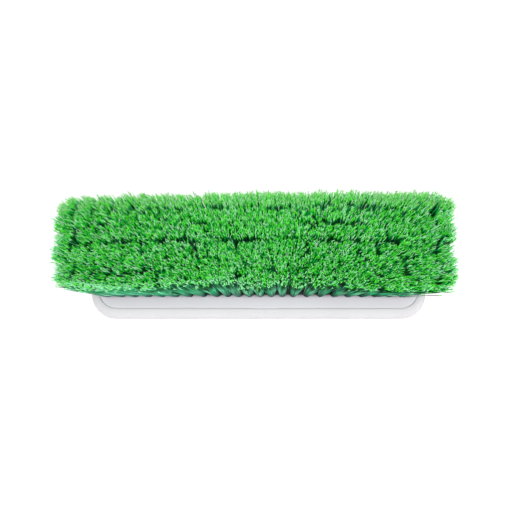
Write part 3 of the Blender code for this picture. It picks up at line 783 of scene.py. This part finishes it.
def roots_and_tips(row, section, chance):
    """Roots, tips and tones of all filaments of a section.

    Within a tuft the tips keep the order of the roots, spread into a wider round-cornered oblong, cling to
    clumps and stray at random, and some of them, the wisps, stray further. In a few front tufts some hang
    out over the plate's edge. A tone goes from 0, deepest, to PALEST_TONE, and at the back to 1. A clump's
    tones go together. The field's outer side and the filaments that hang out get higher tones, which give
    them the greens painted as lit, without the painted shade on the stems.
    """
    places = tuft_places(row)[section * TUFTS_PER_SECTION : (section + 1) * TUFTS_PER_SECTION]
    tufts = len(places)
    seeds = turned(sunflower(FILAMENTS_PER_TUFT), chance.uniform(0, 2 * np.pi, tufts))
    shape = seeds.shape[:2]
    spread = squared(seeds.reshape(-1, 2)).reshape(seeds.shape)
    nearest, to_clump = clumps(spread, chance)
    draw = np.take_along_axis(chance.uniform(*CLUMP_DRAW_SHARES, (tufts, CLUMPS_PER_TUFT)), nearest, 1)
    way = tuft_lean(places, row, chance)[:, None]
    way = way + fan_sizes(places, chance)[:, None] * (spread + draw[..., None] * to_clump)
    stray = np.where(chance.uniform(0, 1, shape) < WISP_SHARE, WISP_STRAY, FAN_STRAY)
    way = way + chance.normal(0, 1, way.shape) * stray[..., None]
    licked = lick_share(places, row)[:, None] * chance.uniform(0, 1, shape) ** LICK_POWER
    way[..., 1] -= LICK_LEAN * licked
    length = TRIM_LENGTH * chance.uniform(*TUFT_LENGTH_SHARES, (tufts, 1)) - LICK_SHORTER * licked
    length = length - chance.gamma(LENGTH_STRAY_SHAPE, LENGTH_STRAY, shape)
    inset = FIELD_RAGGED * np.sqrt(chance.uniform(0, 1, shape))
    reach = held_within(places[:, None] + way, inset)
    rise = np.sqrt(length**2 - ((reach - places[:, None]) ** 2).sum(-1))
    tip = np.concatenate((reach, (FACE + rise)[..., None]), -1)
    sink = np.full((*shape, 1), FACE - ROOT_SINK)
    root = np.concatenate((places[:, None] + TUFT_RADIUS * seeds, sink), -1)
    clump_tone = np.take_along_axis(chance.normal(0, CLUMP_TONE, (tufts, CLUMPS_PER_TUFT)), nearest, 1)
    # Hanging filaments and the field's outer side get higher tones, which pick the greens painted as lit
    tone = filament_tones(shape, chance) + clump_tone + licked
    tone = tone + OUTER_TONE * outer_share(seeds, places, row)
    at_back = row == ROWS - 1
    tone = np.clip(tone + BACK_TONE * at_back, 0, 1 if at_back else PALEST_TONE)
    return root.reshape(-1, 3), tip.reshape(-1, 3), tone.ravel()


def outer_share(seeds, places, row):
    """How near each filament is to the field's outer side, in the tufts that stand there.

    Along the front it counts for evenly less from the left end to nothing at the right.
    """
    along, across = seeds[..., 0], seeds[..., 1]
    at_front = FRONT_TONE_SHARE * (1 - places[:, :1] / ROW_HALF_LENGTH) * (row == 0)
    at_back = float(row == ROWS - 1)
    at_end = np.abs(places[:, :1]) > ROW_HALF_LENGTH - OUTER_PITCH
    sides = (across * (at_back - at_front), along * np.sign(places[:, :1]) * at_end)
    return np.maximum(np.maximum(*sides), 0)


def filament_tones(shape, chance):
    """Tone of each filament: some deep, some pale and the others between."""
    rank = chance.uniform(0, 1, shape)
    shade = chance.uniform(0, 1, shape)
    deep, middle, pale = [low + (high - low) * shade for low, high in (DEEP_TONES, MIDDLE_TONES, PALE_TONES)]
    return np.where(rank < DEEP_SHARE, deep, np.where(rank > 1 - PALE_SHARE, pale, middle))


def stem_points(root, tip, share, wave, kink):
    """Points at a share of each filament.

    The filament rises evenly and leans out a little faster towards its end, as the share plus a bend times
    the share times one less than it. It waves sideways as a sine, and just below its end it stands off by
    its kink, which grows as a high power of the share up to there.
    """
    lean = share + OUTWARD_BEND * share * (share - 1)
    points = root + (tip - root) * (lean, lean, share)
    phase, side_way = wave
    swing = np.sin(2 * np.pi * CRIMP_WAVES * share + phase) * min(1.0, CRIMP_EASE * share)
    return points + side_way * swing[:, None] + kink * (share / STEM_SHARES[-1]) ** KINK_POWER


def bristle_section(row, section):
    """All filaments of one section of a row as a single mesh."""
    chance = np.random.default_rng(100 * row + section)
    root, tip, tone = roots_and_tips(row, section, chance)
    count = len(root)
    root[:, :2] += chance.normal(0, ROOT_STRAY, (count, 2))
    tip += chance.normal(0, TIP_STRAY, tip.shape)
    phase = chance.uniform(0, 2 * np.pi, count)
    angle = chance.uniform(0, 2 * np.pi, count)
    side_way = np.stack((np.cos(angle), np.sin(angle), np.zeros(count)), -1)
    wave = (phase, side_way * CRIMP * chance.uniform(1 - CRIMP_CHANGE, 1 + CRIMP_CHANGE, (count, 1)))
    kink = chance.uniform(-KINK, KINK, root.shape) * (1, 1, 0)
    turn = angle[:, None] + np.arange(3) * 2 * np.pi / 3
    corner = np.stack((np.cos(turn), np.sin(turn), np.zeros_like(turn)), -1)
    vertices = []
    for share in STEM_SHARES:
        middle = stem_points(root, tip, share, wave, kink)
        radius = STEM_ROOT_RADIUS + (STEM_RADIUS - STEM_ROOT_RADIUS) * share
        vertices.append(middle[:, None] + corner * radius)
    split = stem_points(root, tip, SPLIT_FROM, wave, kink)
    for end in range(3):
        start = split + corner[:, end] * STEM_RADIUS * SPLIT_SIDE_SHARE
        shorter = (tip - root) * chance.uniform(0, SPLIT_SHORTER_SHARE, (count, 1))
        finish = tip - shorter + chance.normal(0, SPLIT_SPREAD, (count, 3))
        vertices.append(start[:, None] + corner * END_RADIUS)
        vertices.append(finish[:, None])
    vertices = np.concatenate(vertices, 1)
    faces, along, around, sizes = PATTERN
    corners = (faces[None] + vertices.shape[1] * np.arange(count)[:, None]).ravel()
    u = np.broadcast_to(MAP_ALONG[0] + MAP_ALONG[1] * along, (count, len(along)))
    v = MAP_TONE[0] + MAP_TONE[1] * tone[:, None] + MAP_AROUND * around
    uv = np.stack((u, v), -1).reshape(-1, 2)
    name = f"filaments_row_{row + 1}_section_{section + 1}"
    mesh = mesh_of_faces(name, vertices.reshape(-1, 3), corners, np.tile(sizes, count), uv)
    return fresh_object(name, mesh)


def node(tree, kind, **values):
    """A shader node with its properties and, by name or number, its unlinked inputs set."""
    made = tree.nodes.new(kind)
    for key, value in values.items():
        if key == "inputs":
            for socket, setting in value.items():
                made.inputs[socket].default_value = setting
        else:
            setattr(made, key, value)
    return made


def group_with(name, inputs, outputs):
    """An empty node group with named sockets, and its two end nodes."""
    tree = bpy.data.node_groups.new(name, "ShaderNodeTree")
    for label, kind, value in inputs:
        socket = tree.interface.new_socket(label, in_out="INPUT", socket_type=kind)
        socket.default_value = value
    for label, kind in outputs:
        tree.interface.new_socket(label, in_out="OUTPUT", socket_type=kind)
    return tree, tree.nodes.new("NodeGroupInput"), tree.nodes.new("NodeGroupOutput")


def moulded_skin():
    """Fine unevenness of a moulded or cast surface: a colour cloud, a roughness cloud and a bump."""
    inputs = (
        ("Colour", "NodeSocketColor", (0.8, 0.8, 0.8, 1)),
        ("Shade", "NodeSocketColor", (0.7, 0.7, 0.7, 1)),
        ("Cloud Scale", "NodeSocketFloat", CLOUD_SCALE),
        ("Grain Scale", "NodeSocketFloat", GRAIN_SCALE),
        ("Roughness", "NodeSocketFloat", 0.45),
        ("Bump", "NodeSocketFloat", GRAIN_STRENGTH),
    )
    outputs = (
        ("Colour", "NodeSocketColor"),
        ("Roughness", "NodeSocketFloat"),
        ("Normal", "NodeSocketVector"),
    )
    tree, start, end = group_with("moulded_skin", inputs, outputs)
    link = tree.links.new
    place = node(tree, "ShaderNodeTexCoord")
    cloud = node(tree, "ShaderNodeTexNoise", inputs={"Detail": 3.0})
    grain = node(tree, "ShaderNodeTexNoise", inputs={"Detail": 2.0})
    for pattern, scale in ((cloud, "Cloud Scale"), (grain, "Grain Scale")):
        link(place.outputs["Object"], pattern.inputs["Vector"])
        link(start.outputs[scale], pattern.inputs["Scale"])
    limits = {"From Min": CLOUD_SPAN[0], "From Max": CLOUD_SPAN[1]}
    spread = node(tree, "ShaderNodeMapRange", inputs=limits)
    link(cloud.outputs["Fac"], spread.inputs["Value"])
    mix = node(tree, "ShaderNodeMix", data_type="RGBA")
    link(spread.outputs["Result"], mix.inputs["Factor"])
    link(start.outputs["Colour"], mix.inputs["A"])
    link(start.outputs["Shade"], mix.inputs["B"])
    link(mix.outputs["Result"], end.inputs["Colour"])
    rough = node(tree, "ShaderNodeMath", operation="MULTIPLY_ADD", inputs={1: ROUGHNESS_CHANGE})
    link(grain.outputs["Fac"], rough.inputs[0])
    link(start.outputs["Roughness"], rough.inputs[2])
    link(rough.outputs[0], end.inputs["Roughness"])
    bump = node(tree, "ShaderNodeBump", inputs={"Distance": GRAIN_DEPTH})
    link(grain.outputs["Fac"], bump.inputs["Height"])
    link(start.outputs["Bump"], bump.inputs["Strength"])
    link(bump.outputs["Normal"], end.inputs["Normal"])
    return tree


def plain_material(name):
    """A new material, its node tree and its Principled shader."""
    material = bpy.data.materials.new(name)
    material.use_nodes = True
    return material, material.node_tree, material.node_tree.nodes["Principled BSDF"]


def skinned(name, skin, colour, shade, roughness, metallic=0.0):
    """A material whose colour, roughness and normal come from the shared skin group."""
    material, tree, shader = plain_material(name)
    values = {
        "Colour": colour,
        "Shade": shade,
        "Cloud Scale": CLOUD_SCALE,
        "Grain Scale": GRAIN_SCALE,
        "Roughness": roughness,
        "Bump": GRAIN_STRENGTH,
    }
    group = node(tree, "ShaderNodeGroup", node_tree=skin, inputs=values)
    shader.inputs["Metallic"].default_value = metallic
    tree.links.new(group.outputs["Colour"], shader.inputs["Base Color"])
    tree.links.new(group.outputs["Roughness"], shader.inputs["Roughness"])
    tree.links.new(group.outputs["Normal"], shader.inputs["Normal"])
    return material


def paint_shade_among_tufts(material, colour):
    """Paints shade on the plate among the tufts, where hardly any light comes.

    Its share is full in the oblong that the tufts' middles span and up to PAINTED_SHADE_FROM outside it. From
    there it falls off as a power of the way that is left to PAINTED_SHADE_REACH.
    """
    tree = material.node_tree
    shader = tree.nodes["Principled BSDF"]
    place = node(tree, "ShaderNodeTexCoord")
    split = node(tree, "ShaderNodeSeparateXYZ")
    tree.links.new(place.outputs["Object"], split.inputs[0])
    sides = []
    for axis, half in (("X", ROW_HALF_LENGTH), ("Y", (ROWS - 1) / 2 * ROW_PITCH)):
        size = node(tree, "ShaderNodeMath", operation="ABSOLUTE")
        tree.links.new(split.outputs[axis], size.inputs[0])
        past = node(tree, "ShaderNodeMath", operation="SUBTRACT", inputs={1: half})
        tree.links.new(size.outputs[0], past.inputs[0])
        sides.append(past)
    furthest = node(tree, "ShaderNodeMath", operation="MAXIMUM")
    tree.links.new(sides[0].outputs[0], furthest.inputs[0])
    tree.links.new(sides[1].outputs[0], furthest.inputs[1])
    limits = {"From Min": PAINTED_SHADE_FROM, "From Max": PAINTED_SHADE_REACH, "To Min": 1.0, "To Max": 0.0}
    near = node(tree, "ShaderNodeMapRange", inputs=limits)
    tree.links.new(furthest.outputs[0], near.inputs["Value"])
    share = node(tree, "ShaderNodeMath", operation="POWER", inputs={1: PAINTED_SHADE_POWER})
    tree.links.new(near.outputs["Result"], share.inputs[0])
    mix = node(tree, "ShaderNodeMix", data_type="RGBA")
    mix.inputs["B"].default_value = colour
    tree.links.new(share.outputs[0], mix.inputs["Factor"])
    tree.links.new(shader.inputs["Base Color"].links[0].from_socket, mix.inputs["A"])
    tree.links.new(mix.outputs["Result"], shader.inputs["Base Color"])


def colour_ramp(tree, stops):
    """A colour ramp whose first stop is at 0 and whose last is at 1."""
    ramp = node(tree, "ShaderNodeValToRGB")
    for place, colour in stops[1:-1]:
        ramp.color_ramp.elements.new(place).color = (*colour, 1)
    ramp.color_ramp.elements[0].color = (*stops[0][1], 1)
    ramp.color_ramp.elements[-1].color = (*stops[-1][1], 1)
    return ramp


def filament_material():
    """Green filament: the map's U runs from root to tip and its V from the deepest tone to the palest.

    Past the palest tone come the outermost filaments, and last of all those at the back.
    """
    material, tree, shader = plain_material("green_filament")
    link = tree.links.new
    uv = node(tree, "ShaderNodeUVMap", uv_map="OFBake")
    split = node(tree, "ShaderNodeSeparateXYZ")
    link(uv.outputs["UV"], split.inputs[0])
    # Along U the greens carry painted light and shade
    ramp = colour_ramp(tree, DEEP_GREENS)
    link(split.outputs["X"], ramp.inputs["Fac"])
    colour = ramp.outputs["Color"]
    for greens, low, high in TONE_STAGES:
        ramp = colour_ramp(tree, greens)
        link(split.outputs["X"], ramp.inputs["Fac"])
        share = node(tree, "ShaderNodeMapRange", inputs={"From Min": low, "From Max": high})
        link(split.outputs["Y"], share.inputs["Value"])
        mix = node(tree, "ShaderNodeMix", data_type="RGBA")
        link(share.outputs["Result"], mix.inputs["Factor"])
        link(colour, mix.inputs["A"])
        link(ramp.outputs["Color"], mix.inputs["B"])
        colour = mix.outputs["Result"]
    link(colour, shader.inputs["Base Color"])
    shader.inputs["Roughness"].default_value = FILAMENT_ROUGHNESS
    shader.inputs["Specular IOR Level"].default_value = FILAMENT_SPECULAR
    return material


def dress(obj, material):
    """Gives an object this one material."""
    obj.data.materials.clear()
    obj.data.materials.append(material)


def put_on(piece, slot, *nodes):
    """Ties a finished piece to the frame: it rides on the root body and stands for these nodes."""
    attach(piece, "root")
    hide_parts(*nodes)


def make_brush():
    """Makes the materials and the pieces, and ties each new piece to the frame."""
    skin = moulded_skin()
    white = skinned("white_plastic", skin, *COVER_WHITE)
    soft_white = skinned("white_rubber", skin, *BUMPER_WHITE)
    soft_shader = soft_white.node_tree.nodes["Principled BSDF"]
    soft_shader.inputs["Sheen Weight"].default_value = BUMPER_SHEEN
    soft_shader.inputs["Sheen Roughness"].default_value = BUMPER_SHEEN_ROUGHNESS
    black = skinned("black_rubber", skin, *SEAL_BLACK)
    brass = skinned("turned_brass", skin, *BUSH_BRASS)
    steel = skinned("stainless_steel", skin, *SCREW_STEEL)
    green = filament_material()

    field_white = skinned("tuft_plate_plastic", skin, *PLATE_WHITE)
    # Painted shade darkens the plate among the tufts
    paint_shade_among_tufts(field_white, PAINTED_SHADE_COLOUR)
    plate = tuft_plate()
    dress(plate, field_white)
    put_on(plate, "block_plastic", "tuft_plate")
    bumper = soft_bumper()
    dress(bumper, soft_white)
    put_on(bumper, "bumper_rubber", "bumper")
    for row in range(ROWS):
        for section in range(SECTIONS):
            bristles = bristle_section(row, section)
            dress(bristles, green)
            put_on(bristles, "bristle_green", f"bristle_row_{row + 1}_section_{section + 1}")
    cover = softened("back_shell", "back_cover", COVER_EDGE_ROUND)
    dress(cover, white)
    put_on(cover, "block_plastic", "back_cover")
    bush = threaded_bush()
    dress(bush, brass)
    put_on(bush, "insert_brass", "handle_insert")
    for name in [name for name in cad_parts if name.startswith("cover_screw")]:
        screw = softened(name.replace("cover", "pan_head"), name, SCREW_EDGE_ROUND)
        dress(screw, steel)
        put_on(screw, "screw_steel", name)
    for name in ("cover_gasket", "inlet_washer"):
        dress(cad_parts[name], black)


def make_camera():
    """The camera looks along +Y and steeply down; its aim puts the block where the photograph has it."""
    data = bpy.data.cameras.new("camera")
    data.sensor_width = SENSOR_WIDTH
    data.lens = PIXELS_PER_METRE * VIEW_DISTANCE / IMAGE_WIDTH * SENSOR_WIDTH
    camera = fresh_object("camera", data)
    back = Vector((0, -math.cos(VIEW_HEIGHT_ANGLE), math.sin(VIEW_HEIGHT_ANGLE)))
    up = Vector((0, math.sin(VIEW_HEIGHT_ANGLE), math.cos(VIEW_HEIGHT_ANGLE)))
    across_px, down_px = [pixel - IMAGE_WIDTH / 2 for pixel in FACE_PIXEL]
    aim = Vector((-across_px / PIXELS_PER_METRE, 0, FACE)) + up * (down_px / PIXELS_PER_METRE)
    camera.location = aim + back * VIEW_DISTANCE
    camera.rotation_euler = (math.pi / 2 - VIEW_HEIGHT_ANGLE, 0, 0)
    bpy.context.scene.camera = camera


def background_rays(tree):
    """One where a camera, glossy or transmission ray looks, and zero for the light on the object."""
    path = node(tree, "ShaderNodeLightPath")
    seen = path.outputs["Is Camera Ray"]
    for kind in ("Is Glossy Ray", "Is Transmission Ray"):
        either = node(tree, "ShaderNodeMath", operation="MAXIMUM")
        tree.links.new(seen, either.inputs[0])
        tree.links.new(path.outputs[kind], either.inputs[1])
        seen = either.outputs[0]
    return seen


def make_floor():
    """A pale floor that keeps the shadow and is white to the camera where the light falls freely."""
    corners = FLOOR_REACH * np.array(((-1, -1, 0), (1, -1, 0), (1, 1, 0), (-1, 1, 0)))
    floor = fresh_object("floor", mesh_of_faces("floor", corners, np.arange(4), np.array([4])))
    material = bpy.data.materials.new("pale_floor")
    material.use_nodes = True
    tree = material.node_tree
    tree.nodes.clear()
    out = node(tree, "ShaderNodeOutputMaterial")
    diffuse = node(tree, "ShaderNodeBsdfDiffuse")
    glow = node(tree, "ShaderNodeEmission", inputs={"Color": (1, 1, 1, 1)})
    seen = background_rays(tree)
    share = node(tree, "ShaderNodeMath", operation="MULTIPLY", inputs={1: FLOOR_GLOW})
    tree.links.new(seen, share.inputs[0])
    tree.links.new(share.outputs[0], glow.inputs["Strength"])
    colour = node(tree, "ShaderNodeMix", data_type="RGBA")
    colour.inputs["A"].default_value = FLOOR_COLOUR
    colour.inputs["B"].default_value = (FLOOR_SHADE, FLOOR_SHADE, FLOOR_SHADE, 1)
    tree.links.new(seen, colour.inputs["Factor"])
    tree.links.new(colour.outputs["Result"], diffuse.inputs["Color"])
    both = node(tree, "ShaderNodeAddShader")
    tree.links.new(diffuse.outputs[0], both.inputs[0])
    tree.links.new(glow.outputs[0], both.inputs[1])
    tree.links.new(both.outputs[0], out.inputs["Surface"])
    floor.data.materials.append(material)


def make_lamp(name, place, size, power):
    """A round area lamp that points at the origin."""
    data = bpy.data.lights.new(name, "AREA")
    data.shape = "DISK"
    data.size = size
    data.energy = power
    lamp = fresh_object(name, data)
    lamp.location = place
    lamp.rotation_euler = Vector(place).to_track_quat("Z", "Y").to_euler()


def make_light():
    """A strong lamp overhead, weaker ones low in front, behind and at both ends, and a pale surround."""
    for lamp in LAMPS:
        make_lamp(*lamp)
    world = bpy.data.worlds.new("studio")
    bpy.context.scene.world = world
    world.use_nodes = True
    tree = world.node_tree
    background = tree.nodes["Background"]
    background.inputs["Color"].default_value = (1, 1, 1, 1)
    level = node(tree, "ShaderNodeMapRange", inputs={"To Min": SURROUND, "To Max": 1.0})
    tree.links.new(background_rays(tree), level.inputs["Value"])
    tree.links.new(level.outputs["Result"], background.inputs["Strength"])


make_brush()
make_camera()
make_floor()
make_light()
bpy.context.scene.view_settings.view_transform = "Standard"
